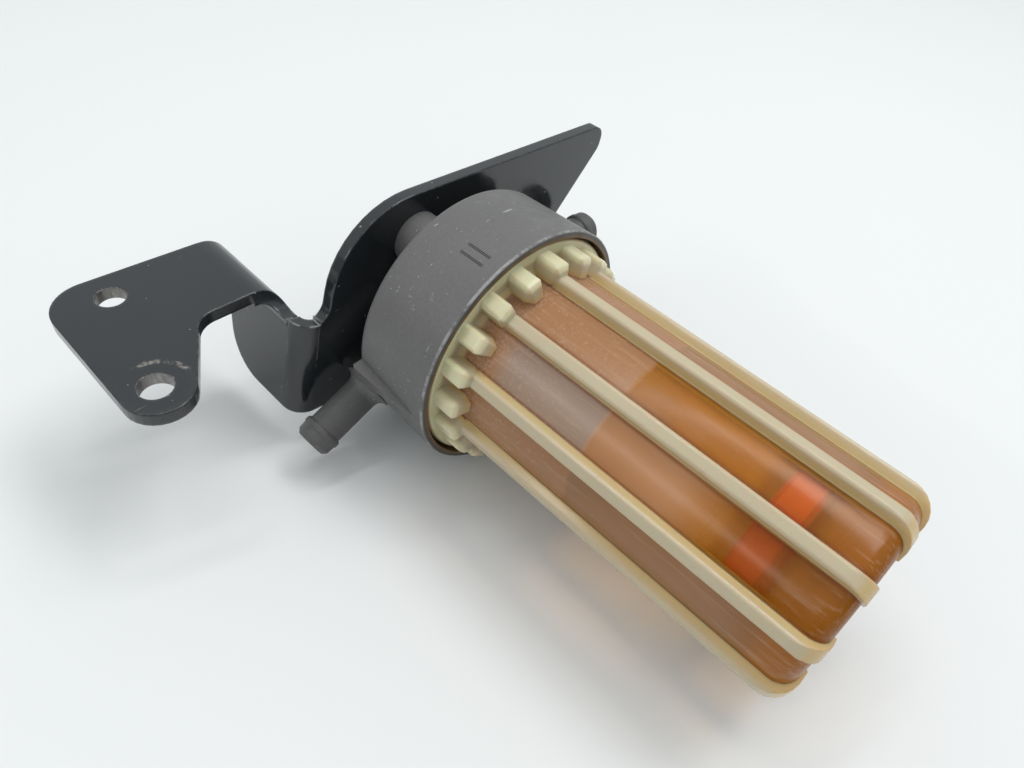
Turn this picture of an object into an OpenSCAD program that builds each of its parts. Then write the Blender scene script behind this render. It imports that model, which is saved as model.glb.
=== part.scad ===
// Bracket-mounted fuel and water separator with a screw-on clear bowl.
// Row frame: origin at the middle of the bracket tab's larger bolt hole, Z along that hole,
// X along the bowl's axis from the head towards the bowl's closed end. Millimetres.

/* [Layout] */
// how far the head's rim stands along X from the tab's larger hole
rim_x = 32.2; // [10:0.5:60]
// bowl axis, sideways from the tab's larger hole
axis_y = 73.7; // [50:0.5:110]
// bowl axis, below the middle of the tab's thickness
axis_drop = 9.1; // [0:0.5:40]

/* [Bracket] */
// sheet thickness
sheet_t = 3; // [2:0.1:5]
// inside radius of the bend between the main plate and the side wall
bend_inner_r = 2; // [1:0.1:5]
// inside radius of the bend between the side wall and the tab
tab_bend_inner_r = 4; // [1:0.1:5]
// gap from the head's rim back to the face the head bolts to
plate_back = 33; // [30:0.5:45]
// lean of the side wall against the tab's normal, in degrees
wall_lean = 10; // [0:1:25]
// larger tab hole, diameter
tab_hole_d = 7.2; // [5:0.1:10]
// smaller tab hole, diameter
tab_small_hole_d = 6.6; // [4:0.1:9]
// smaller hole, distance back along X from the larger one
tab_small_back = 29.8; // [20:0.1:45]
// smaller hole, distance inboard along Y from the larger one
tab_small_in = 5.5; // [0:0.1:12]
// rounding of the tab's end round its larger hole
tab_end_r = 7.4; // [5:0.1:12]

/* [Head] */
// outside radius of the skirt at its rim
head_rim_r = 32; // [25:0.1:45]
// outside radius of the skirt at its back edge
head_back_r = 31.2; // [24:0.1:44]
// skirt length
head_len = 23.2; // [15:0.1:40]
// bore the bowl screws into, radius
head_bore_r = 28.5; // [20:0.1:40]
// depth of that bore
head_bore_depth = 19; // [12:0.5:30]
// radius of the recess that takes the bowl's flange
rim_recess_r = 30.4; // [25:0.1:42]
// depth of that recess
rim_recess_depth = 3.9; // [2:0.1:8]
// radius of the round hub behind the skirt
hub_r = 13; // [8:0.5:20]
// distance of a mounting boss from the bowl axis
boss_pitch_r = 17.8; // [12:0.1:25]
// angle of the mounting bosses, from Y towards Z
boss_angle = 110; // [0:1:180]
// mounting boss, radius
boss_r = 6.7; // [5:0.1:10]

/* [Hose barbs] */
// barb axis, distance back from the rim
barb_back = 24; // [18:0.1:32]
// angle of the inlet barb, from Y towards Z
inlet_angle = 205; // [150:1:250]
// angle of the outlet barb, from Y towards Z
outlet_angle = 1; // [-45:1:45]
// barb stem, radius
barb_r = 4.4; // [2:0.1:8]
// barb bead, radius
bead_r = 5; // [3:0.1:9]
// barb bore, radius
barb_bore_r = 2.8; // [1.5:0.1:5]
// distance of the barb's tip from the bowl axis
barb_tip = 51; // [40:0.5:70]

/* [Bowl] */
// outside radius of the bowl's wall
bowl_r = 23.3; // [18:0.1:35]
// wall thickness
bowl_wall = 1.8; // [1.2:0.1:4]
// distance of the bowl's closed end from the rim
bowl_end = 90; // [60:0.5:140]
// radius over the long ribs
rib_r = 25.7; // [20:0.1:38]
// width of a long rib
rib_w = 3.5; // [2:0.1:6]
// number of long ribs
rib_count = 10; // [6:1:16]
// angle of the first rib
rib_start = 31.7; // [0:0.1:36]
// radius over the grip teeth
tooth_r = 28.3; // [22:0.1:40]
// width of a grip tooth
tooth_w = 4.8; // [3:0.1:8]
// how far the teeth reach past the rim
tooth_end = 5.8; // [3:0.1:12]
// radius of the flange under the teeth
flange_r = 29.7; // [24:0.1:42]
// radius of the screwed spigot
spigot_r = 28.2; // [20:0.1:40]
// distance the spigot reaches into the head
spigot_len = 17.5; // [10:0.5:28]

/* [Float] */
// outside radius of the float ring
float_r = 20.9; // [15:0.1:32]
// inside radius of the float ring
float_inner_r = 14.5; // [8:0.1:25]
// height of the float ring
float_h = 7.5; // [4:0.1:15]
// distance of the float ring's nearer face from the rim, as found
float_at = 67.5; // [40:0.5:80]

/* [Filter] */
// outside radius of the end caps
filter_r = 20; // [15:0.1:28]
// distance the filter hangs past the rim
filter_end = 34.5; // [20:0.5:60]
// number of pleats
pleats = 32; // [16:1:60]

/* [Hidden] */
$fn = 64;
// small overlap that makes two volumes one solid
weld = 0.05;
// how far a bend's skin lies under the flats' skin
hair = 0.02;
// how far a bend runs on into the flats at each end, in degrees
bend_sink = 5;
// a cut that has to clear a face
past = 1;
bend_outer_r = bend_inner_r + sheet_t;
tab_bend_outer_r = tab_bend_inner_r + sheet_t;
// bracket tab, front face level and inboard end, seen from the bowl axis
tab_top = axis_drop + sheet_t / 2;
wall_face = -40;
wall_bottom = -28.9;
notch_level = -2;
notch_r = 5;
notch_open_x = -38.5;
// the notch's quarter round on the main plate, as its middle on the leaning wall and its radius
notch_mid_m = -36.9;
notch_mid_b = 2.4;
notch_side_r = 4.4;
tab_edge_x = -45;
tab_back_x = -68.4;
bend1_m = wall_face + sheet_t - tab_bend_outer_r;
bend1_z = tab_top - tab_bend_outer_r;
bend1_y = (bend1_m + bend1_z * sin(wall_lean)) / cos(wall_lean);
bend1_b = bend1_y * sin(wall_lean) + bend1_z * cos(wall_lean);
// how far down the side wall the tab's bend runs on
bend_sink_depth = tab_bend_outer_r * sin(bend_sink) + weld;
bend2_m = wall_face + bend_outer_r;
bend2_x = -plate_back - bend_outer_r;
seal_mid = -14.9;
seal_ring_r = 27;
seal_section_r = 1.15;
boss_dir = [cos(boss_angle), sin(boss_angle)];
root_fillet_r = 2.3;
// how far a rib stands past the bowl's closed end
rib_past_end = 0.7;
// rounding of the bowl's closed end, outside, inside and along a rib
end_outer_r = 4.2;
end_inner_r = 2.4;
rib_end_r = 5.8;
gusset_w = 4.6;
ridges = 4;
bolt_r = 3;

// ---- shared placing and outline helpers ----

// origin at the rim's centre, axes as in the row frame
module from_rim() {
    translate([rim_x, axis_y, -axis_drop]) children();
}

// drawing plane: local Z runs along the bowl axis, local Y stays Y, local X points down
module about_bowl_axis() {
    from_rim() rotate([0, 90, 0]) children();
}

// local X leaves the bowl axis at the given angle, from Y towards Z
module facing(angle) {
    from_rim() rotate([angle, 0, 0]) rotate([0, 0, 90]) children();
}

function unit(v) = v / norm(v);

// points that round the corner at b, coming from a and going on to c
function corner(a, b, c, r, steps) =
    let (u = unit(a - b))
    let (v = unit(c - b))
    let (half = acos(u * v) / 2)
    let (back = r / tan(half))
    let (mid = b + unit(u + v) * r / sin(half))
    let (p = b + u * back)
    let (q = b + v * back)
    let (pa = atan2(p[1] - mid[1], p[0] - mid[0]))
    let (qa = atan2(q[1] - mid[1], q[0] - mid[0]))
    let (turn = (qa - pa) > 180 ? qa - pa - 360 : ((qa - pa) < -180 ? qa - pa + 360 : qa - pa))
    r <= 0 ? [b] : [for (k = [0 : steps])
        let (t = pa + turn * k / steps)
        mid + r * [cos(t), sin(t)]];

// an outline whose corners are rounded, from [x, y, radius] entries
function rounded(list, steps = 6) =
    [for (k = [0 : len(list) - 1])
        let (a = list[(k + len(list) - 1) % len(list)])
        let (b = list[k])
        let (c = list[(k + 1) % len(list)])
        each corner([a[0], a[1]], [b[0], b[1]], [c[0], c[1]], b[2], steps)];

// a point of the leaning side wall, given along its normal and up its face
function wall_yz(m, b) = [m * cos(wall_lean) + b * sin(wall_lean),
                          b * cos(wall_lean) - m * sin(wall_lean)];

// ---- bracket ----

module main_plate() {
    // the relief notch's side, a quarter round that runs out of the bend
    notch_side = [for (k = [0 : 5])
        let (t = -65 + 13 * k)
        wall_yz(notch_mid_m + notch_side_r * cos(t), notch_mid_b + notch_side_r * sin(t))];
    outline = concat(
        notch_side,
        rounded([
            [notch_side[5][0], notch_side[5][1], 0],
            [-26.6, 29.6, 23.5],
            [62.3, 25.3, 3.6],
            [61.4, 18.7, 4],
            [20.4, -28.5, 9],
            [wall_yz(bend2_m, wall_bottom)[0], wall_yz(bend2_m, wall_bottom)[1], 0]
        ], 10)
    );
    translate([-plate_back - sheet_t, 0, 0])
        rotate([90, 0, 90]) linear_extrude(height = sheet_t) polygon(outline);
}

module side_wall() {
    outline = rounded([
        [bend2_x, bend1_b, 0],
        [tab_back_x, bend1_b, 0],
        [tab_back_x, bend1_b - bend_sink_depth, 0],
        [-62.7, -12, 7],
        [-59.6, wall_bottom, 12],
        [bend2_x, wall_bottom, 0]
    ], 10);
    rotate([-wall_lean, 0, 0])
        translate([0, wall_face + sheet_t, 0])
            rotate([90, 0, 0]) linear_extrude(height = sheet_t) polygon(outline);
}

// rounded notch that relieves the corner where both bends meet
module relief_notch() {
    outline = rounded([
        [tab_edge_x, 14, 0],
        [tab_edge_x, notch_level, notch_r],
        [-30, notch_level, 0],
        [-30, 14, 0]
    ], 10);
    rotate([-wall_lean, 0, 0])
        translate([0, bend2_m + 0.1, 0])
            rotate([90, 0, 0]) linear_extrude(height = 15) polygon(outline);
}

// a bend's section, a hair thinner than the sheet so that its ends sink into the flats
module bend_sector(turn, length, inner_r) {
    rotate([0, 0, -bend_sink])
        rotate_extrude(angle = turn + 2 * bend_sink)
            translate([inner_r + hair, hair])
                square([sheet_t - 2 * hair, length - 2 * hair]);
}

// quarter bend from the main plate round to the side wall
module plate_bend() {
    rotate([-wall_lean, 0, 0])
        translate([bend2_x, bend2_m, wall_bottom])
            rotate([0, 0, -90]) bend_sector(90, notch_level + 1 - wall_bottom, bend_inner_r);
}

// bend from the side wall over to the tab
module tab_bend() {
    turn = 90 + wall_lean;
    translate([tab_back_x, bend1_y, bend1_z])
        rotate([0, 90, 0])
            rotate([0, 0, 180 - turn])
                bend_sector(turn, notch_open_x - tab_back_x, tab_bend_inner_r);
}

module tab_plate() {
    outline = rounded([
        [tab_edge_x, bend1_y, 0],
        [tab_edge_x, -57.2, 6],
        [-4.1, -80.9, tab_end_r],
        [-70.6, -80.9, 9],
        [tab_back_x, bend1_y, 0]
    ], 12);
    translate([0, 0, tab_top - sheet_t])
        linear_extrude(height = sheet_t) polygon(outline);
}

module bracket() {
    color([0.07, 0.07, 0.08])
    difference() {
        from_rim() {
            main_plate();
            side_wall();
            plate_bend();
            tab_bend();
            tab_plate();
        }
        from_rim() relief_notch();
        translate([0, 0, -sheet_t]) cylinder(h = 2 * sheet_t, d = tab_hole_d);
        translate([-tab_small_back, tab_small_in, -sheet_t])
            cylinder(h = 2 * sheet_t, d = tab_small_hole_d);
        for (side = [-1, 1])
            about_bowl_axis()
                translate([-side * boss_pitch_r * boss_dir[1], side * boss_pitch_r * boss_dir[0],
                           -plate_back - sheet_t - past])
                    cylinder(h = sheet_t + 2 * past, r = bolt_r + 0.3);
    }
}

// ---- head ----

// runs along local X, from the bowl axis outwards, with a fillet where it leaves the skirt
module barb_outside(angle, start, tip) {
    fillet_out = head_back_r + 0.4 + root_fillet_r;
    facing(angle)
        translate([0, barb_back, 0])
            rotate([0, 90, 0])
                rotate_extrude()
                    polygon(concat(
                        [[0, start], [barb_r + 1.2, start], [barb_r + 1.2, head_back_r - 0.8]],
                        [for (k = [0 : 5]) [barb_r + root_fillet_r * (1 - sin(k * 18)),
                                            fillet_out - root_fillet_r * cos(k * 18)]],
                        [[barb_r, tip - 5], [bead_r - 0.25, tip - 4.8], [bead_r, tip - 4.4],
                         [bead_r, tip - 3.4], [bead_r - 0.25, tip - 3],
                         [bead_r - 0.35, tip - 1.1], [bead_r - 1.2, tip - 0.1],
                         [bead_r - 1.4, tip], [0, tip]]));
}

module barb_hole(angle, start, tip) {
    facing(angle)
        translate([0, barb_back, 0])
            rotate([0, 90, 0])
                translate([0, 0, start]) cylinder(h = tip - start + past, r = barb_bore_r);
}

// a sliver of the gusset, seen from outside: its width at the back edge, its point near the rim
module gusset_plan(from, to, tip_at, level) {
    rotate([0, 90, 0])
        translate([0, 0, head_back_r - 3])
            linear_extrude(height = level)
                polygon([[head_len - 0.6, from], [head_len - 0.6, to], [tip_at, 0.25], [tip_at, -0.05]]);
}

// wedge that runs down the skirt beside a barb, with ridges that meet at its point
module gusset(angle) {
    half = gusset_w / 2;
    about_bowl_axis()
        rotate([0, 0, angle])
            intersection() {
                rotate([90, 0, 0])
                    translate([0, 0, -half - past])
                        linear_extrude(height = gusset_w + 2 * past)
                            polygon([[head_back_r - 2.4, -head_len + 0.3],
                                     [head_back_r + 2.2, -head_len + 0.3],
                                     [head_back_r + 2.7, -head_len + 1.6],
                                     [head_back_r + 2.3, -14],
                                     [head_back_r + 1.2, -5.5], [head_rim_r - 0.2, -3.4],
                                     [head_back_r - 2.4, -3.4]]);
                union() {
                    gusset_plan(-half, half, 4, 4.4);
                    for (k = [0 : ridges - 1])
                        gusset_plan(-half + gusset_w * k / ridges,
                                    -half + gusset_w * (k + 0.55) / ridges, 4.2 + k, 7);
                }
            }
}

module mounting_boss(side) {
    about_bowl_axis()
        translate([-side * boss_pitch_r * boss_dir[1], side * boss_pitch_r * boss_dir[0],
                   -plate_back])
            cylinder(h = plate_back - head_bore_depth - 1, r = boss_r);
}

module insert_hole(side) {
    about_bowl_axis()
        translate([-side * boss_pitch_r * boss_dir[1], side * boss_pitch_r * boss_dir[0],
                   -plate_back - past])
            cylinder(h = 9.5 + past, r = 4.2);
}

module head() {
    color([0.42, 0.41, 0.4])
    difference() {
        union() {
            about_bowl_axis()
                rotate_extrude()
                    polygon([[0, -29.6], [hub_r - 0.8, -29.6], [hub_r, -28.8], [hub_r, -head_len],
                             [head_back_r - 1.2, -head_len], [head_back_r - 0.35, -head_len + 0.35],
                             [head_back_r, -head_len + 1.2], [head_rim_r, -0.4],
                             [head_rim_r - 0.4, 0], [0, 0]]);
            barb_outside(inlet_angle, 8, barb_tip);
            barb_outside(outlet_angle, 8, barb_tip);
            mounting_boss(1);
            mounting_boss(-1);
            gusset(inlet_angle + 71);
            gusset(outlet_angle + 109);
        }
        about_bowl_axis() {
            // bowl bore and flange recess, leaving the outlet stub in the middle
            rotate_extrude()
                polygon([[7, -head_bore_depth], [head_bore_r, -head_bore_depth],
                         [head_bore_r, -rim_recess_depth], [rim_recess_r, -rim_recess_depth],
                         [rim_recess_r, past], [0, past], [0, -9], [5.2, -9], [6, -9.8],
                         [6, -head_bore_depth]]);
            // clean fuel rises through the stub
            translate([0, 0, -barb_back - 2]) cylinder(h = 20, r = barb_bore_r - 0.3);
            // dirty fuel drops into the ring around the filter
            rotate([0, 0, inlet_angle + 90])
                translate([24, 0, -barb_back - 1.4]) cylinder(h = 12, r = barb_bore_r - 0.3);
        }
        barb_hole(inlet_angle, 20.5, barb_tip);
        barb_hole(outlet_angle, -3.7, barb_tip);
        insert_hole(1);
        insert_hole(-1);
    }
}

// ---- fixings ----

module at_each_boss(level) {
    for (side = [-1, 1])
        about_bowl_axis()
            translate([-side * boss_pitch_r * boss_dir[1], side * boss_pitch_r * boss_dir[0], level])
                children();
}

module threaded_inserts() {
    color([0.72, 0.58, 0.28])
    at_each_boss(-plate_back + 0.2)
        difference() {
            union() {
                cylinder(h = 9, r = 4);
                translate([0, 0, 1.4]) cylinder(h = 2.4, r = 4.2);
                translate([0, 0, 5.2]) cylinder(h = 2.4, r = 4.2);
            }
            translate([0, 0, -past]) cylinder(h = 9 + 2 * past, r = bolt_r);
        }
}

module mounting_bolts() {
    color([0.7, 0.7, 0.72])
    at_each_boss(-plate_back - sheet_t - 1.2 - 1.6) {
        translate([0, 0, -1]) cylinder(h = 14.6, r = bolt_r);
        translate([0, 0, 13.6 - weld]) cylinder(h = 0.6, r1 = bolt_r, r2 = bolt_r - 0.6);
        translate([0, 0, -4]) cylinder(h = 4, r = 5.77, $fn = 6);
        translate([0, 0, -4.35]) cylinder(h = 0.4, r1 = 4.5, r2 = 4.95);
    }
}

module plain_washers() {
    color([0.66, 0.67, 0.69])
    at_each_boss(-plate_back - sheet_t - 1.2)
        difference() {
            cylinder(h = 1.2, r = 6);
            translate([0, 0, -past]) cylinder(h = 4, r = bolt_r + 0.2);
        }
}

module spring_washers() {
    color([0.5, 0.5, 0.52])
    at_each_boss(-plate_back - sheet_t - 1.2 - 1.6)
        difference() {
            cylinder(h = 1.6, r = 5.4);
            translate([0, 0, -past]) cylinder(h = 4, r = bolt_r + 0.1);
            translate([0, -0.4, -past]) cube([8, 0.8, 4]);
        }
}

// ---- filter element ----

module filter_grommet() {
    color([0.12, 0.12, 0.12])
    about_bowl_axis()
        rotate_extrude()
            polygon([[6, -15.6], [9.4, -15.6], [9.4, -14.6], [8, -14.6], [8, -12.4],
                     [9.4, -12.4], [9.4, -11.4], [6, -11.4]]);
}

module filter_top_cap() {
    color([0.2, 0.2, 0.2])
    about_bowl_axis()
        rotate_extrude()
            polygon([[8, -14.6], [filter_r, -14.6], [filter_r, -9.6], [filter_r - 1, -9.6],
                     [filter_r - 1, -12.4], [8, -12.4]]);
}

module filter_bottom_cap() {
    color([0.2, 0.2, 0.2])
    about_bowl_axis()
        rotate_extrude()
            polygon([[0, filter_end - 2.2], [filter_r - 1, filter_end - 2.2],
                     [filter_r - 1, filter_end - 5], [filter_r, filter_end - 5],
                     [filter_r, filter_end - 0.6], [filter_r - 0.6, filter_end], [0, filter_end]]);
}

module filter_core() {
    color([0.3, 0.3, 0.3])
    difference() {
        about_bowl_axis()
            rotate_extrude()
                polygon([[9.8, -12.4], [11, -12.4], [11, filter_end - 2.2],
                         [9.8, filter_end - 2.2]]);
        about_bowl_axis()
            for (row = [0 : 3])
                for (k = [0 : 5])
                    translate([0, 0, -5 + row * 9])
                        rotate([0, 0, k * 60 + row * 30])
                            translate([8, 0, 0]) rotate([0, 90, 0]) cylinder(h = 5, r = 1.7);
    }
}

module filter_media() {
    deep = 11.3;
    high = filter_r - 1.3;
    outer = [for (k = [0 : 2 * pleats - 1])
        let (r = k % 2 == 0 ? high : deep + 0.9)
        let (t = k * 180 / pleats)
        [r * cos(t), r * sin(t)]];
    inner = [for (k = [0 : 2 * pleats - 1])
        let (r = k % 2 == 0 ? high - 1.6 : deep)
        let (t = k * 180 / pleats)
        [r * cos(t), r * sin(t)]];
    color([0.45, 0.36, 0.28])
    about_bowl_axis()
        translate([0, 0, -12.4])
            linear_extrude(height = filter_end - 2.2 + 12.4)
                difference() {
                    polygon(outer);
                    polygon(inner);
                }
}

// ---- bowl, seal and float ----

module bowl_shell() {
    inner = bowl_r - bowl_wall;
    floor_out = bowl_end - rib_past_end;
    floor_in = floor_out - 2;
    rotate_extrude()
        polygon(concat(
            [[spigot_r - 0.5, -spigot_len], [spigot_r, -spigot_len + 0.5],
             [spigot_r, seal_mid - 1.45], [25.55, seal_mid - 1.45], [25.55, seal_mid + 1.45],
             [spigot_r, seal_mid + 1.45], [spigot_r, -3.6], [flange_r, -3.6], [flange_r, -1.1],
             [flange_r - 0.4, -0.7], [25, -0.7], [bowl_r + 0.6, 0.2], [bowl_r, 1.2]],
            [for (k = [0 : 6]) [bowl_r - end_outer_r * (1 - cos(k * 15)),
                                floor_out - end_outer_r * (1 - sin(k * 15))]],
            [[0, floor_out]],
            [[0, floor_in]],
            [for (k = [0 : 6]) [inner - end_inner_r * (1 - sin(k * 15)),
                                floor_in - end_inner_r * (1 - cos(k * 15))]],
            [[inner, 2.5], [24.3, -3.4], [24.3, -spigot_len]]));
}

// a rib or a tooth seen along the bowl axis: full width at the wall, bevelled at the top
function bevelled(inner, top, wide, bevel) = [
    [inner, -wide / 2], [bowl_r, -wide / 2], [top - bevel, -wide / 2 + bevel * 0.4],
    [top + 0.02, -wide / 2 + bevel * 1.3], [top + 0.02, wide / 2 - bevel * 1.3],
    [top - bevel, wide / 2 - bevel * 0.4], [bowl_r, wide / 2], [inner, wide / 2]];

module rib() {
    intersection() {
        rotate([90, 0, 0])
            translate([0, 0, -rib_w])
                linear_extrude(height = 2 * rib_w)
                    polygon(concat(
                        [[bowl_r - 0.9, -0.8], [rib_r, -0.8]],
                        [for (k = [0 : 6]) [rib_r - rib_end_r * (1 - cos(k * 15)),
                                            bowl_end - rib_end_r * (1 - sin(k * 15))]],
                        [[rib_r - 8.4, bowl_end - 0.15],
                         [rib_r - 9.2, bowl_end - rib_past_end - 0.8],
                         [bowl_r - 5, bowl_end - rib_past_end - 1.2],
                         [bowl_r - 0.9, bowl_end - 6.5]]));
        translate([0, 0, -2])
            linear_extrude(height = bowl_end + 4)
                polygon(bevelled(8, rib_r, rib_w, 0.5));
    }
}

module tooth() {
    half = tooth_w / 2;
    intersection() {
        rotate([90, 0, 0])
            translate([0, 0, -tooth_w])
                linear_extrude(height = 2 * tooth_w)
                    polygon([[bowl_r - 0.9, -1.2], [tooth_r, -1.2], [tooth_r, tooth_end - 1.5],
                             [tooth_r - 0.4, tooth_end - 0.6], [tooth_r - 1.2, tooth_end - 0.1],
                             [bowl_r - 0.9, tooth_end + 0.7]]);
        translate([0, 0, -3])
            linear_extrude(height = tooth_end + 6)
                polygon(bevelled(8, tooth_r, tooth_w, 0.7));
        // seen from outside, the free end's corners are cut off
        rotate([0, 90, 0])
            translate([0, 0, bowl_r - 3])
                linear_extrude(height = tooth_r - bowl_r + 6)
                    polygon([[3, -tooth_w], [-tooth_end + 1.5, -tooth_w],
                             [-tooth_end + 1.5, -half + 0.1], [-tooth_end - 0.3, -half + 1.1],
                             [-tooth_end - 1.5, -half + 1.3], [-tooth_end - 1.5, half - 1.3],
                             [-tooth_end - 0.3, half - 1.1], [-tooth_end + 1.5, half - 0.1],
                             [-tooth_end + 1.5, tooth_w], [3, tooth_w]]);
    }
}

module bowl() {
    color([0.72, 0.5, 0.2, 0.6])
    about_bowl_axis()
        rotate([0, 0, rib_start]) {
            bowl_shell();
            for (k = [0 : rib_count - 1]) rotate([0, 0, k * 360 / rib_count]) rib();
            for (k = [0 : 2 * rib_count - 1]) rotate([0, 0, k * 180 / rib_count]) tooth();
        }
}

module bowl_seal() {
    color([0.08, 0.08, 0.08])
    about_bowl_axis()
        translate([0, 0, seal_mid])
            rotate_extrude() translate([seal_ring_r, 0]) circle(r = seal_section_r, $fn = 32);
}

module float_ring() {
    color([0.72, 0.2, 0.14])
    about_bowl_axis()
        translate([0, 0, float_at])
            rotate_extrude()
                polygon([[float_inner_r, 0.8], [float_inner_r + 0.8, 0], [float_r - 1, 0],
                         [float_r, 1], [float_r, float_h - 1], [float_r - 1, float_h],
                         [float_inner_r + 0.8, float_h], [float_inner_r, float_h - 0.8]]);
}

bracket();
head();
threaded_inserts();
mounting_bolts();
plain_washers();
spring_washers();
filter_grommet();
filter_top_cap();
filter_core();
filter_media();
filter_bottom_cap();
bowl_seal();
bowl();
float_ring();
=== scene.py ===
"""Looks for a bracket-mounted fuel and water separator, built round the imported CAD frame."""

import math

import bpy
from mathutils import Matrix, Vector

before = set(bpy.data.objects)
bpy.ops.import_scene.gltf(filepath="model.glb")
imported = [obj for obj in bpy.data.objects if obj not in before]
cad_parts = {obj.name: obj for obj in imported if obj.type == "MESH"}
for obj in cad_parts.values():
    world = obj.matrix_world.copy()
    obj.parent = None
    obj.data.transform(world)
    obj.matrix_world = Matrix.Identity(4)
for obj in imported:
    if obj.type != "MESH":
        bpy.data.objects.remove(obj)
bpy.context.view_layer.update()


MM = 0.001

# Named sizes, repeated from the CAD source, in metres
RIM_X = 32.2 * MM
AXIS_Y = 73.7 * MM
AXIS_Z = -9.1 * MM
RIM_R = 32 * MM
RECESS_R = 30.4 * MM
BOWL_R = 23.3 * MM
TOOTH_END = 5.8 * MM
FILTER_END = 34.5 * MM
RIB_HALF = 1.75 * MM
RIB_STEP = math.radians(36)
RIB_START = math.radians(31.7)
BIG_HOLE_R = 3.6 * MM
SMALL_HOLE = (-29.8 * MM, 5.5 * MM)
SMALL_HOLE_R = 3.3 * MM
SHEET_HALF = 1.5 * MM
# where the bracket's two bends meet
NOTCH = (-5.5 * MM, 37.5 * MM, -11 * MM)

# Where marks and panels lie round the bowl's axis, in degrees
STROKES = (199.2, 199.9, 203.6, 204.3)
FRONT_PANELS = 211.7
PALE_PANEL = 229.7

# The camera
EYE = Vector((114.6, -33.0, 119.1)) * MM
TARGET = Vector((45.9, 54.0, 3.7)) * MM
ROLL = math.radians(9.1)
LENS = 27.04


# ---------------------------------------------------------------- node helpers

class Graph:
    """A material's node tree, with short calls for the nodes used here."""

    def __init__(self, name):
        self.mat = bpy.data.materials.new(name)
        self.mat.use_nodes = True
        self.tree = self.mat.node_tree
        self.tree.nodes.clear()
        self.out = self.tree.nodes.new("ShaderNodeOutputMaterial")

    def put(self, socket, value):
        """Links a socket, or sets a plain value."""
        if isinstance(value, bpy.types.NodeSocket):
            self.tree.links.new(value, socket)
        else:
            socket.default_value = value

    def node(self, kind, settings=None, **inputs):
        made = self.tree.nodes.new(kind)
        for key, value in (settings or {}).items():
            setattr(made, key, value)
        for key, value in inputs.items():
            self.put(made.inputs[key.replace("_", " ")], value)
        return made

    def math(self, operation, a, b=0.0, c=0.0):
        made = self.tree.nodes.new("ShaderNodeMath")
        made.operation = operation
        self.put(made.inputs[0], a)
        self.put(made.inputs[1], b)
        self.put(made.inputs[2], c)
        return made.outputs[0]

    def span(self, value, low, high, to_low=0.0, to_high=1.0):
        """A smooth ramp of value from low..high to to_low..to_high."""
        made = self.tree.nodes.new("ShaderNodeMapRange")
        made.interpolation_type = "SMOOTHSTEP"
        self.put(made.inputs["Value"], value)
        self.put(made.inputs["From Min"], low)
        self.put(made.inputs["From Max"], high)
        self.put(made.inputs["To Min"], to_low)
        self.put(made.inputs["To Max"], to_high)
        return made.outputs["Result"]

    def mix(self, factor, a, b):
        made = self.tree.nodes.new("ShaderNodeMix")
        made.data_type = "RGBA"
        self.put(made.inputs["Factor"], factor)
        self.put(made.inputs["A"], a)
        self.put(made.inputs["B"], b)
        return made.outputs["Result"]

    def here(self):
        return self.node("ShaderNodeTexCoord").outputs["Object"]

    def noise(self, scale, detail=2.0, rough=0.5, where=None):
        made = self.node("ShaderNodeTexNoise", Scale=scale, Detail=detail, Roughness=rough)
        self.put(made.inputs["Vector"], where if where is not None else self.here())
        return made.outputs["Fac"]

    def bump(self, height, distance, strength=1.0, normal=None):
        made = self.node("ShaderNodeBump", Height=height, Distance=distance, Strength=strength)
        if normal is not None:
            self.put(made.inputs["Normal"], normal)
        return made.outputs["Normal"]

    def rounded(self, radius):
        return self.node("ShaderNodeBevel", {"samples": 6}, Radius=radius).outputs["Normal"]

    def bsdf(self, **inputs):
        made = self.tree.nodes.new("ShaderNodeBsdfPrincipled")
        for key, value in inputs.items():
            self.put(made.inputs[key.replace("_", " ")], value)
        return made.outputs["BSDF"]

    def surface(self, shader):
        self.tree.links.new(shader, self.out.inputs["Surface"])
        return self.mat


def stretched(g, x, y, z):
    """Object coordinates scaled along each axis."""
    made = g.node("ShaderNodeMapping")
    g.put(made.inputs["Vector"], g.here())
    made.inputs["Scale"].default_value = (x, y, z)
    return made.outputs["Vector"]


class Polar:
    """Distance along the bowl axis, radius from it, and angle round it, as node values."""

    def __init__(self, g):
        parts = g.node("ShaderNodeSeparateXYZ")
        g.put(parts.inputs["Vector"], g.here())
        self.along = g.math("SUBTRACT", parts.outputs["X"], RIM_X)
        self.across = g.math("SUBTRACT", parts.outputs["Y"], AXIS_Y)
        self.up = g.math("SUBTRACT", parts.outputs["Z"], AXIS_Z)
        across2 = g.math("MULTIPLY", self.across, self.across)
        up2 = g.math("MULTIPLY", self.up, self.up)
        self.radius = g.math("SQRT", g.math("ADD", across2, up2))
        self.angle = g.math("ARCTAN2", self.across, g.math("MULTIPLY", self.up, -1.0))

    def near(self, g, degrees, half, soft):
        """One inside a stretch of half either way round the axis from an angle, zero outside."""
        middle = math.radians(degrees)
        off = g.math("WRAP", g.math("SUBTRACT", self.angle, middle), math.pi, -math.pi)
        return g.span(g.math("ABSOLUTE", off), math.radians(half), math.radians(half + soft), 1.0, 0.0)

    def between(self, g, low, high, soft):
        """One where the distance along the axis lies from low to high."""
        rise = g.span(self.along, low - soft, low)
        fall = g.span(self.along, high, high + soft, 1.0, 0.0)
        return g.math("MULTIPLY", rise, fall)


def times(g, *values):
    """The product of several masks."""
    made = values[0]
    for value in values[1:]:
        made = g.math("MULTIPLY", made, value)
    return made


def glaze(g, below, above, mask):
    """One shader laid over another where the mask is one."""
    made = g.node("ShaderNodeMixShader")
    g.put(made.inputs[0], mask)
    g.put(made.inputs[1], below)
    g.put(made.inputs[2], above)
    return made.outputs[0]


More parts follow.
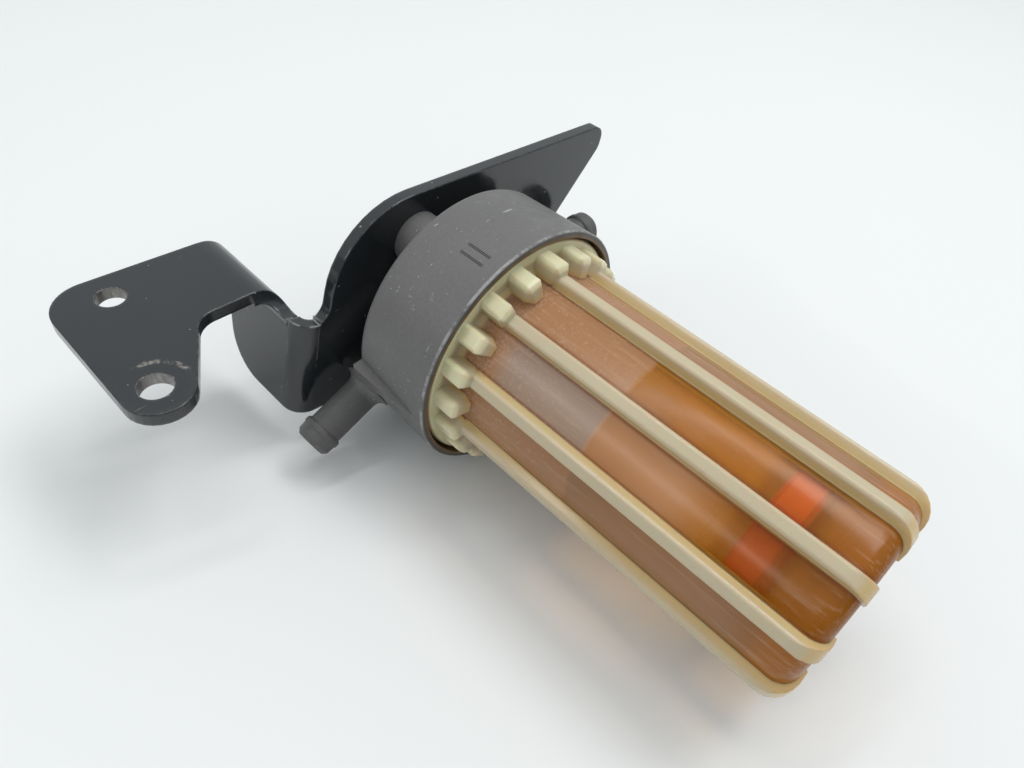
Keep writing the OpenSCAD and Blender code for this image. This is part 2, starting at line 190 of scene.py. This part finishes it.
def dress(node, material):
    """Gives a CAD node a new material."""
    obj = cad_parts[node]
    for place in obj.material_slots:
        place.material = material
    if not obj.material_slots:
        obj.data.materials.append(material)


# ---------------------------------------------------------------- materials

def scratches(g, scale, cut, turn):
    """Thin, short, broken lines: stretched noise, turned, where it peaks."""
    place = g.node("ShaderNodeMapping")
    g.put(place.inputs["Vector"], g.here())
    place.inputs["Rotation"].default_value = turn
    place.inputs["Scale"].default_value = (1.0, 0.06, 1.0)
    lines = g.span(g.noise(scale, 1.0, 0.4, place.outputs["Vector"]), cut, cut + 0.03)
    broken = g.span(g.noise(scale * 0.14, 2.0), 0.55, 0.62)
    return times(g, lines, broken)


def edges(g, soft_normal, low, high):
    """One along sharp edges: where a rounded normal leaves the face's own."""
    own = g.node("ShaderNodeNewGeometry").outputs["True Normal"]
    facing = g.node("ShaderNodeVectorMath", {"operation": "DOT_PRODUCT"})
    g.put(facing.inputs[0], soft_normal)
    g.put(facing.inputs[1], own)
    return g.span(facing.outputs["Value"], high, low)


def nylon():
    g = Graph("grey_nylon_look")
    polar = Polar(g)
    cloud = g.noise(38.0, 5.0, 0.6)
    fibre = g.noise(2600.0, 2.0, 0.6, stretched(g, 1.0, 0.35, 0.35))
    base = g.mix(cloud, (0.1, 0.1, 0.1, 1), (0.15, 0.147, 0.142, 1))
    grain = g.span(g.noise(1900.0, 2.0, 0.7), 0.35, 0.7)
    base = g.mix(g.math("MULTIPLY", grain, 0.22), base, (0.21, 0.207, 0.2, 1))
    # painted shade: darker towards the rim and the underside
    side = g.span(g.math("SUBTRACT", polar.along, g.math("MULTIPLY", polar.up, 0.9)), -8 * MM, 22 * MM)
    base = g.mix(g.math("MULTIPLY", side, 0.5), base, (0.055, 0.054, 0.052, 1))
    # pale rubs and pinpricks on the skirt
    rubs = times(g, g.span(g.noise(420.0, 5.0, 0.75), 0.6, 0.7), g.span(g.noise(60.0, 2.0), 0.5, 0.62))
    pricks = g.span(g.noise(1700.0, 0.0), 0.85, 0.87)
    worn = g.math("MAXIMUM", g.math("MULTIPLY", rubs, 0.4), g.math("MULTIPLY", pricks, 0.8))
    worn = g.math("MAXIMUM", worn, g.math("MULTIPLY", scratches(g, 1500.0, 0.7, (0.3, 0.2, 0.5)), 0.5))
    base = g.mix(worn, base, (0.5, 0.49, 0.47, 1))
    # what stands out from the skirt, such as the barbs, is darker
    outside = g.span(polar.radius, RIM_R + 1 * MM, RIM_R + 3 * MM)
    base = g.mix(g.math("MULTIPLY", outside, 0.55), base, (0.05, 0.051, 0.051, 1))
    # the rim's face is darker, and dirt sits on its inner edge
    face = g.span(polar.along, -0.25 * MM, -0.05 * MM)
    base = g.mix(g.math("MULTIPLY", face, 0.75), base, (0.05, 0.047, 0.044, 1))
    ragged = g.math("ADD", polar.radius, g.math("MULTIPLY", g.noise(700.0, 4.0, 0.7), 1.0 * MM))
    dirt = times(g, g.span(polar.along, -4 * MM, -2 * MM),
                 g.span(ragged, RECESS_R + 1.0 * MM, RECESS_R + 1.3 * MM, 1.0, 0.0))
    base = g.mix(dirt, base, (0.15, 0.09, 0.04, 1))
    # the paler line along the rim's outer corner: partly worn edge, partly a painted highlight
    rim_wear_and_highlight = times(g, polar.between(g, -0.75 * MM, -0.3 * MM, 0.2 * MM),
                   g.span(polar.radius, RIM_R - 0.35 * MM, RIM_R - 0.15 * MM))
    rim_wear_and_highlight = times(g, rim_wear_and_highlight, g.span(g.noise(260.0, 4.0, 0.7), 0.38, 0.62))
    base = g.mix(g.math("MULTIPLY", rim_wear_and_highlight, 0.55), base, (0.5, 0.49, 0.48, 1))
    # two pairs of short moulded strokes
    strokes = 0.0
    for degrees in STROKES:
        stroke = times(g, polar.near(g, degrees, 0.16, 0.12),
                       polar.between(g, -11 * MM, -4.5 * MM, 0.2 * MM))
        strokes = g.math("MAXIMUM", strokes, stroke)
    strokes = times(g, strokes, g.span(polar.radius, RIM_R - 1.6 * MM, RIM_R - 1.2 * MM))
    base = g.mix(strokes, base, (0.022, 0.022, 0.022, 1))
    rough = g.span(g.noise(300.0, 3.0), 0.3, 0.7, 0.4, 0.55)
    shape = g.rounded(0.4 * MM)
    marks = g.bump(strokes, -0.00012, 0.6, shape)
    normal = g.bump(fibre, 0.00003, 0.5, marks)
    return g.surface(g.bsdf(Base_Color=base, Roughness=rough, Normal=normal))


def round_hole(g, x, y):
    """Distance from an upright axis, the two offsets it is made of, and the height."""
    parts = g.node("ShaderNodeSeparateXYZ")
    g.put(parts.inputs["Vector"], g.here())
    dx = g.math("SUBTRACT", parts.outputs["X"], x)
    dy = g.math("SUBTRACT", parts.outputs["Y"], y)
    away = g.math("SQRT", g.math("ADD", g.math("MULTIPLY", dx, dx), g.math("MULTIPLY", dy, dy)))
    return away, dx, dy, parts.outputs["Z"]


def black_paint():
    g = Graph("black_paint_look")
    cloud = g.noise(60.0, 3.0)
    base = g.mix(cloud, (0.013, 0.016, 0.0185, 1), (0.018, 0.0215, 0.025, 1))
    rough = g.span(g.noise(220.0, 4.0, 0.6), 0.3, 0.75, 0.1, 0.22)
    # washer marks: a dull ring round each tab hole, and a pale rub on one side of the larger
    big, dx, dy, height = round_hole(g, 0.0, 0.0)
    small, _, _, _ = round_hole(g, *SMALL_HOLE)
    ragged = g.math("MULTIPLY", g.math("SUBTRACT", g.noise(900.0, 4.0, 0.7), 0.5), 1.6 * MM)
    edge = g.math("ADD", big, ragged)
    ring = times(g, g.span(edge, 6.2 * MM, 6.9 * MM), g.span(edge, 7.1 * MM, 7.8 * MM, 1.0, 0.0))
    side = g.span(g.math("SUBTRACT", dy, g.math("MULTIPLY", dx, 1.2)), 6.6 * MM, 8.4 * MM)
    rub = times(g, ring, side, g.span(g.noise(600.0, 4.0, 0.7), 0.42, 0.6))
    dull = g.math("MAXIMUM", g.math("MULTIPLY", ring, 0.35), rub)
    specks = g.span(g.noise(900.0, 0.0), 0.872, 0.885)
    lines = scratches(g, 1500.0, 0.76, (0.2, 0.1, 0.9))
    small_marks = g.math("MAXIMUM", specks, g.math("MULTIPLY", lines, 0.5))
    marks = g.math("MAXIMUM", g.math("MULTIPLY", rub, 0.75), small_marks)
    base = g.mix(marks, base, (0.3, 0.28, 0.25, 1))
    rough = g.math("ADD", rough, g.math("MULTIPLY", dull, 0.35))
    # bare steel shows in the holes' walls and in chips along their edges
    chip = g.math("MULTIPLY", g.span(g.noise(900.0, 3.0, 0.7), 0.55, 0.7), 0.35 * MM)
    bare_big = g.span(g.math("SUBTRACT", big, chip),
                      BIG_HOLE_R - 0.05 * MM, BIG_HOLE_R + 0.1 * MM, 1.0, 0.0)
    bare_small = g.span(g.math("SUBTRACT", small, chip),
                        SMALL_HOLE_R - 0.05 * MM, SMALL_HOLE_R + 0.1 * MM, 1.0, 0.0)
    bare = g.math("MAXIMUM", bare_big, bare_small)
    low = g.span(height, -SHEET_HALF - 1 * MM, -SHEET_HALF - 0.5 * MM)
    bare = times(g, bare, low)
    shape = g.rounded(0.8 * MM)
    # edges painted a little paler, partly rubbed paint and partly a painted highlight along the
    # rounded edges; painted white glints where the two bends meet at the notch
    edge_wear_and_highlight = edges(g, shape, 0.9, 0.985)
    worn = times(g, edge_wear_and_highlight, g.span(g.noise(500.0, 4.0, 0.7), 0.45, 0.65))
    from_notch = g.node("ShaderNodeVectorMath", {"operation": "DISTANCE"})
    g.put(from_notch.inputs[0], g.here())
    from_notch.inputs[1].default_value = NOTCH
    notch = g.span(from_notch.outputs["Value"], 6 * MM, 9 * MM, 1.0, 0.0)
    painted_notch_glint = times(g, notch, edge_wear_and_highlight, g.span(g.noise(350.0, 2.0), 0.42, 0.55))
    # paler edges (part wear, part painted highlight), then the painted white glints at the notch
    base = g.mix(g.math("MULTIPLY", worn, 0.35), base, (0.16, 0.16, 0.16, 1))
    base = g.mix(g.math("MULTIPLY", painted_notch_glint, 0.75), base, (0.75, 0.75, 0.74, 1))
    peel = g.bump(g.noise(700.0, 1.0), 0.00003, 0.3, shape)
    paint = g.bsdf(Base_Color=base, Roughness=rough, Normal=peel, IOR=1.62)
    streak = g.noise(1500.0, 3.0, 0.6, stretched(g, 1.0, 1.0, 0.2))
    steel_colour = g.mix(streak, (0.1, 0.095, 0.09, 1), (0.5, 0.48, 0.46, 1))
    steel = g.bsdf(Base_Color=steel_colour, Roughness=0.4, Metallic=0.9,
                   Normal=g.bump(streak, 0.00008, 0.6))
    return g.surface(glaze(g, paint, steel, g.math("MULTIPLY", bare, 0.85)))


def amber_bowl():
    g = Graph("amber_bowl_look")
    polar = Polar(g)
    turned = g.math("WRAP", g.math("SUBTRACT", polar.angle, RIB_START), RIB_STEP / 2, -RIB_STEP / 2)
    off_rib = g.math("ABSOLUTE", g.math("MULTIPLY", turned, polar.radius))
    on_rib = g.span(off_rib, RIB_HALF - 0.05 * MM, RIB_HALF + 0.3 * MM, 1.0, 0.0)
    on_rib = times(g, on_rib, g.span(polar.radius, 14.0 * MM, 14.8 * MM))
    proud = g.span(polar.radius, BOWL_R + 0.25 * MM, BOWL_R + 0.7 * MM)
    cream = g.math("MAXIMUM", on_rib, proud)
    cloud = g.noise(45.0, 3.0, 0.55)
    shape = g.rounded(0.8 * MM)

    # the wall: brown over the filter, one greyish panel, clear orange below, darker at the end
    wander = g.math("MULTIPLY", g.math("SUBTRACT", g.noise(90.0, 2.0), 0.5), 2 * MM)
    depth = g.math("ADD", polar.along, wander)
    below = g.span(depth, FILTER_END - 0.8 * MM, FILTER_END + 0.8 * MM)
    brown = g.mix(cloud, (0.47, 0.25, 0.13, 1), (0.36, 0.17, 0.07, 1))
    grey = g.mix(cloud, (0.42, 0.3, 0.225, 1), (0.34, 0.225, 0.165, 1))
    grey_part = times(g, polar.near(g, PALE_PANEL, 11.0, 6.0), g.span(polar.along, 6 * MM, 12 * MM))
    brown = g.mix(grey_part, brown, grey)
    orange = g.mix(cloud, (0.62, 0.25, 0.004, 1), (0.52, 0.185, 0.002, 1))
    paler = g.mix(cloud, (0.68, 0.355, 0.17, 1), (0.54, 0.25, 0.105, 1))
    # the two broad panels between the ribs that face the viewer are painted clearer and a brighter
    # orange; the others are duller
    front = polar.near(g, FRONT_PANELS, 35.0, 1.5)
    pale_part = times(g, polar.near(g, PALE_PANEL, 17.0, 1.5),
                      g.span(polar.along, 52 * MM, 68 * MM, 1.0, 0.0))
    orange = g.mix(pale_part, orange, paler)
    dull = g.mix(cloud, (0.43, 0.24, 0.12, 1), (0.36, 0.18, 0.08, 1))
    orange = g.mix(front, dull, orange)
    tint = g.mix(below, brown, orange)
    tint = g.mix(g.span(polar.along, 72 * MM, 84 * MM), tint, (0.34, 0.11, 0.003, 1))
    # a red-brown line at each rib's foot, crust by the teeth, and fine scratches along the wall
    foot = times(g, g.span(off_rib, RIB_HALF + 0.1 * MM, RIB_HALF + 0.35 * MM),
                 g.span(off_rib, RIB_HALF + 0.5 * MM, RIB_HALF + 1.1 * MM, 1.0, 0.0))
    tint = g.mix(g.math("MULTIPLY", foot, 0.6), tint, (0.22, 0.055, 0.012, 1))
    crust = times(g, g.span(g.noise(1300.0, 4.0, 0.7), 0.48, 0.6),
                  g.span(polar.along, TOOTH_END + 2.2 * MM, TOOTH_END + 0.6 * MM))
    grime = times(g, g.span(g.noise(1100.0, 4.0, 0.75), 0.53, 0.66),
                  g.span(polar.along, 50 * MM, 6 * MM))
    tint = g.mix(g.math("MULTIPLY", grime, 0.3), tint, (0.62, 0.5, 0.4, 1))
    tint = g.mix(g.math("MULTIPLY", crust, 0.45), tint, (0.55, 0.38, 0.28, 1))
    lengthwise = g.noise(1100.0, 3.0, 0.6, stretched(g, 0.06, 1.0, 1.0))
    tint = g.mix(g.math("MULTIPLY", g.span(lengthwise, 0.5, 0.72), 0.32), tint, (0.6, 0.4, 0.25, 1))
    glass = g.mix(0.5, tint, (1.0, 0.62, 0.1, 1))
    ripple = g.bump(g.noise(160.0, 2.0), 0.00012, 0.35, shape)
    scratched = g.bump(lengthwise, 0.00004, 0.35, ripple)
    milky = g.bsdf(Base_Color=tint, Roughness=0.27, IOR=1.5, Specular_IOR_Level=0.32,
                   Normal=scratched)
    clear = g.bsdf(Base_Color=glass, Roughness=0.2, IOR=1.3, Transmission_Weight=1.0, Normal=ripple)
    see = g.node("ShaderNodeBsdfTransparent", Color=(0.98, 0.86, 0.7, 1)).outputs["BSDF"]
    path = g.node("ShaderNodeLightPath").outputs["Is Shadow Ray"]
    # how clear it is: clearest over the float on those two panels, milky at the closed end
    end = g.span(polar.along, 77 * MM, 85 * MM)
    float_zone = times(g, front, polar.between(g, 66 * MM, 76 * MM, 3 * MM), 0.14)
    gain = g.math("ADD", g.math("MULTIPLY", front, 0.3), 0.12)
    share = g.math("ADD", g.math("MULTIPLY", below, gain), 0.26)
    share = g.math("ADD", share, float_zone)
    share = g.math("SUBTRACT", share, g.math("MULTIPLY", pale_part, 0.3))
    share = g.math("MAXIMUM", g.math("SUBTRACT", share, g.math("MULTIPLY", end, 0.42)), 0.1)
    wall = glaze(g, milky, clear, share)
    wall = glaze(g, wall, see, g.math("MULTIPLY", path, 0.92))

    # ribs, teeth and flange: thick, so they look like pale wax; their flanks carry a painted yellow
    # glow of light passing through
    ivory = g.mix(cloud, (0.57, 0.5, 0.345, 1), (0.5, 0.43, 0.29, 1))
    tooth = g.span(polar.radius, 26.2 * MM, 27.4 * MM)
    tooth = times(g, tooth, g.span(polar.along, TOOTH_END + 1 * MM, TOOTH_END))
    ivory = g.mix(tooth, ivory, (0.68, 0.65, 0.43, 1))
    # painted glow: yellower flanks where light passes through the ribs
    painted_flank_glow = g.span(polar.radius, BOWL_R + 0.4 * MM, BOWL_R + 2.4 * MM, 1.0, 0.0)
    ivory = g.mix(g.math("MULTIPLY", painted_flank_glow, 0.7), ivory, (0.62, 0.44, 0.16, 1))
    soil = times(g, g.span(g.noise(900.0, 5.0, 0.7), 0.58, 0.72), 0.4)
    lip = times(g, g.span(polar.radius, 29.0 * MM, 29.5 * MM), 0.8)
    soil = g.math("MAXIMUM", soil, lip)
    ivory = g.mix(soil, ivory, (0.42, 0.3, 0.16, 1))
    solid = g.bsdf(Base_Color=ivory, Roughness=0.2, IOR=1.5, Subsurface_Weight=0.5,
                   Subsurface_Scale=0.002, Normal=ripple)
    return g.surface(glaze(g, wall, solid, cream))


def plain(name, low, high, rough, metal=0.0):
    """A finely grained material that drifts between two colours."""
    g = Graph(name)
    base = g.mix(g.noise(150.0, 3.0), low, high)
    normal = g.bump(g.noise(900.0, 2.0), 0.00002, 0.5, g.rounded(0.2 * MM))
    return g.surface(g.bsdf(Base_Color=base, Roughness=rough, Metallic=metal, Normal=normal))


dress("head", nylon())
dress("bracket", black_paint())
dress("bowl", amber_bowl())
dress("float_ring", plain("red_float_look", (0.5, 0.008, 0.02, 1), (0.58, 0.012, 0.027, 1), 0.4))
dress("filter_media", plain("paper_look", (0.2, 0.13, 0.08, 1), (0.3, 0.2, 0.12, 1), 0.9))
dark = plain("dark_plastic_look", (0.03, 0.027, 0.024, 1), (0.05, 0.045, 0.04, 1), 0.5)
for name in ("filter_top_cap", "filter_bottom_cap", "filter_core"):
    dress(name, dark)
rubber = plain("rubber_look", (0.012, 0.012, 0.012, 1), (0.02, 0.02, 0.02, 1), 0.65)
dress("filter_grommet", rubber)
dress("bowl_seal", rubber)
dress("threaded_inserts", plain("brass_look", (0.6, 0.42, 0.16, 1), (0.7, 0.5, 0.22, 1), 0.3, 1.0))
zinc = plain("zinc_look", (0.55, 0.56, 0.58, 1), (0.68, 0.69, 0.7, 1), 0.28, 1.0)
dress("mounting_bolts", zinc)
dress("plain_washers", zinc)
dress("spring_washers", plain("spring_steel_look", (0.4, 0.41, 0.43, 1), (0.5, 0.5, 0.5, 1), 0.3, 1.0))


# ---------------------------------------------------------------- stage, camera, lights

def floor(level):
    mesh = bpy.data.meshes.new("floor")
    half = 3.0
    mesh.from_pydata([(-half, -half, level), (half, -half, level), (half, half, level),
                      (-half, half, level)], [], [(0, 1, 2, 3)])
    obj = bpy.data.objects.new("floor", mesh)
    bpy.context.collection.objects.link(obj)
    g = Graph("floor_look")
    shade = g.mix(g.noise(5.0, 3.0), (0.785, 0.8, 0.8, 1), (0.815, 0.83, 0.83, 1))
    mesh.materials.append(g.surface(g.bsdf(Base_Color=shade, Roughness=0.6, Specular_IOR_Level=0.2)))


def tent(above, near_side, far_side, away, backdrop):
    """Soft white light from above, bright down to the horizon only on the side away from the viewer.

    A camera that looks past the floor sees an even backdrop instead.
    """
    world = bpy.data.worlds.new("tent")
    bpy.context.scene.world = world
    world.use_nodes = True
    nodes = world.node_tree.nodes
    links = world.node_tree.links
    place = nodes.new("ShaderNodeTexCoord")
    side = nodes.new("ShaderNodeVectorMath")
    side.operation = "DOT_PRODUCT"
    side.inputs[1].default_value = away
    horizon = nodes.new("ShaderNodeMapRange")
    horizon.interpolation_type = "SMOOTHSTEP"
    horizon.inputs["From Min"].default_value = -0.3
    horizon.inputs["From Max"].default_value = 0.5
    horizon.inputs["To Min"].default_value = near_side
    horizon.inputs["To Max"].default_value = far_side
    parts = nodes.new("ShaderNodeSeparateXYZ")
    ramp = nodes.new("ShaderNodeMapRange")
    ramp.interpolation_type = "SMOOTHSTEP"
    ramp.inputs["From Min"].default_value = 0.05
    ramp.inputs["From Max"].default_value = 0.5
    ramp.inputs["To Max"].default_value = above
    links.new(place.outputs["Generated"], side.inputs[0])
    links.new(side.outputs["Value"], horizon.inputs["Value"])
    links.new(horizon.outputs["Result"], ramp.inputs["To Min"])
    links.new(place.outputs["Generated"], parts.inputs["Vector"])
    links.new(parts.outputs["Z"], ramp.inputs["Value"])
    back = nodes["Background"]
    back.inputs["Color"].default_value = (0.955, 0.99, 1.0, 1)
    path = nodes.new("ShaderNodeLightPath")
    seen = nodes.new("ShaderNodeMix")
    seen.inputs["B"].default_value = backdrop
    links.new(path.outputs["Is Camera Ray"], seen.inputs["Factor"])
    links.new(ramp.outputs["Result"], seen.inputs["A"])
    links.new(seen.outputs["Result"], back.inputs["Strength"])


def camera(eye, target, roll, lens):
    data = bpy.data.cameras.new("camera")
    obj = bpy.data.objects.new("camera", data)
    bpy.context.collection.objects.link(obj)
    look = (target - eye).to_track_quat("-Z", "Y").to_matrix().to_4x4()
    obj.matrix_world = Matrix.Translation(eye) @ look @ Matrix.Rotation(roll, 4, "Z")
    data.lens = lens
    data.sensor_width = 36.0
    data.clip_start = 0.005
    data.clip_end = 20.0
    bpy.context.scene.camera = obj


def softbox(name, place, aim, size, power):
    data = bpy.data.lights.new(name, "AREA")
    data.shape = "RECTANGLE"
    data.size = size[0]
    data.size_y = size[1]
    data.energy = power
    obj = bpy.data.objects.new(name, data)
    obj.location = place
    obj.rotation_mode = "QUATERNION"
    obj.rotation_quaternion = (Vector(aim) - Vector(place)).to_track_quat("-Z", "Y")
    obj.visible_transmission = False
    bpy.context.collection.objects.link(obj)


floor(AXIS_Z - RIM_R)
camera(EYE, TARGET, ROLL, LENS)
bpy.context.scene.view_settings.view_transform = "Standard"
tent(above=0.735, near_side=0.1, far_side=0.74, away=(-0.73, 0.68, 0.0), backdrop=0.8)
softbox("key", place=(0.2, 0.45, 0.9), aim=(0.05, 0.05, 0), size=(0.5, 0.3), power=3.2)
softbox("strip_above", place=(-0.15, 0.12, 0.8), aim=(0.05, 0.06, 0), size=(0.6, 0.03), power=1.1)
softbox("strip_side", place=(-0.15, -0.7, 0.45), aim=(0.05, 0.06, 0), size=(0.6, 0.03), power=0.8)
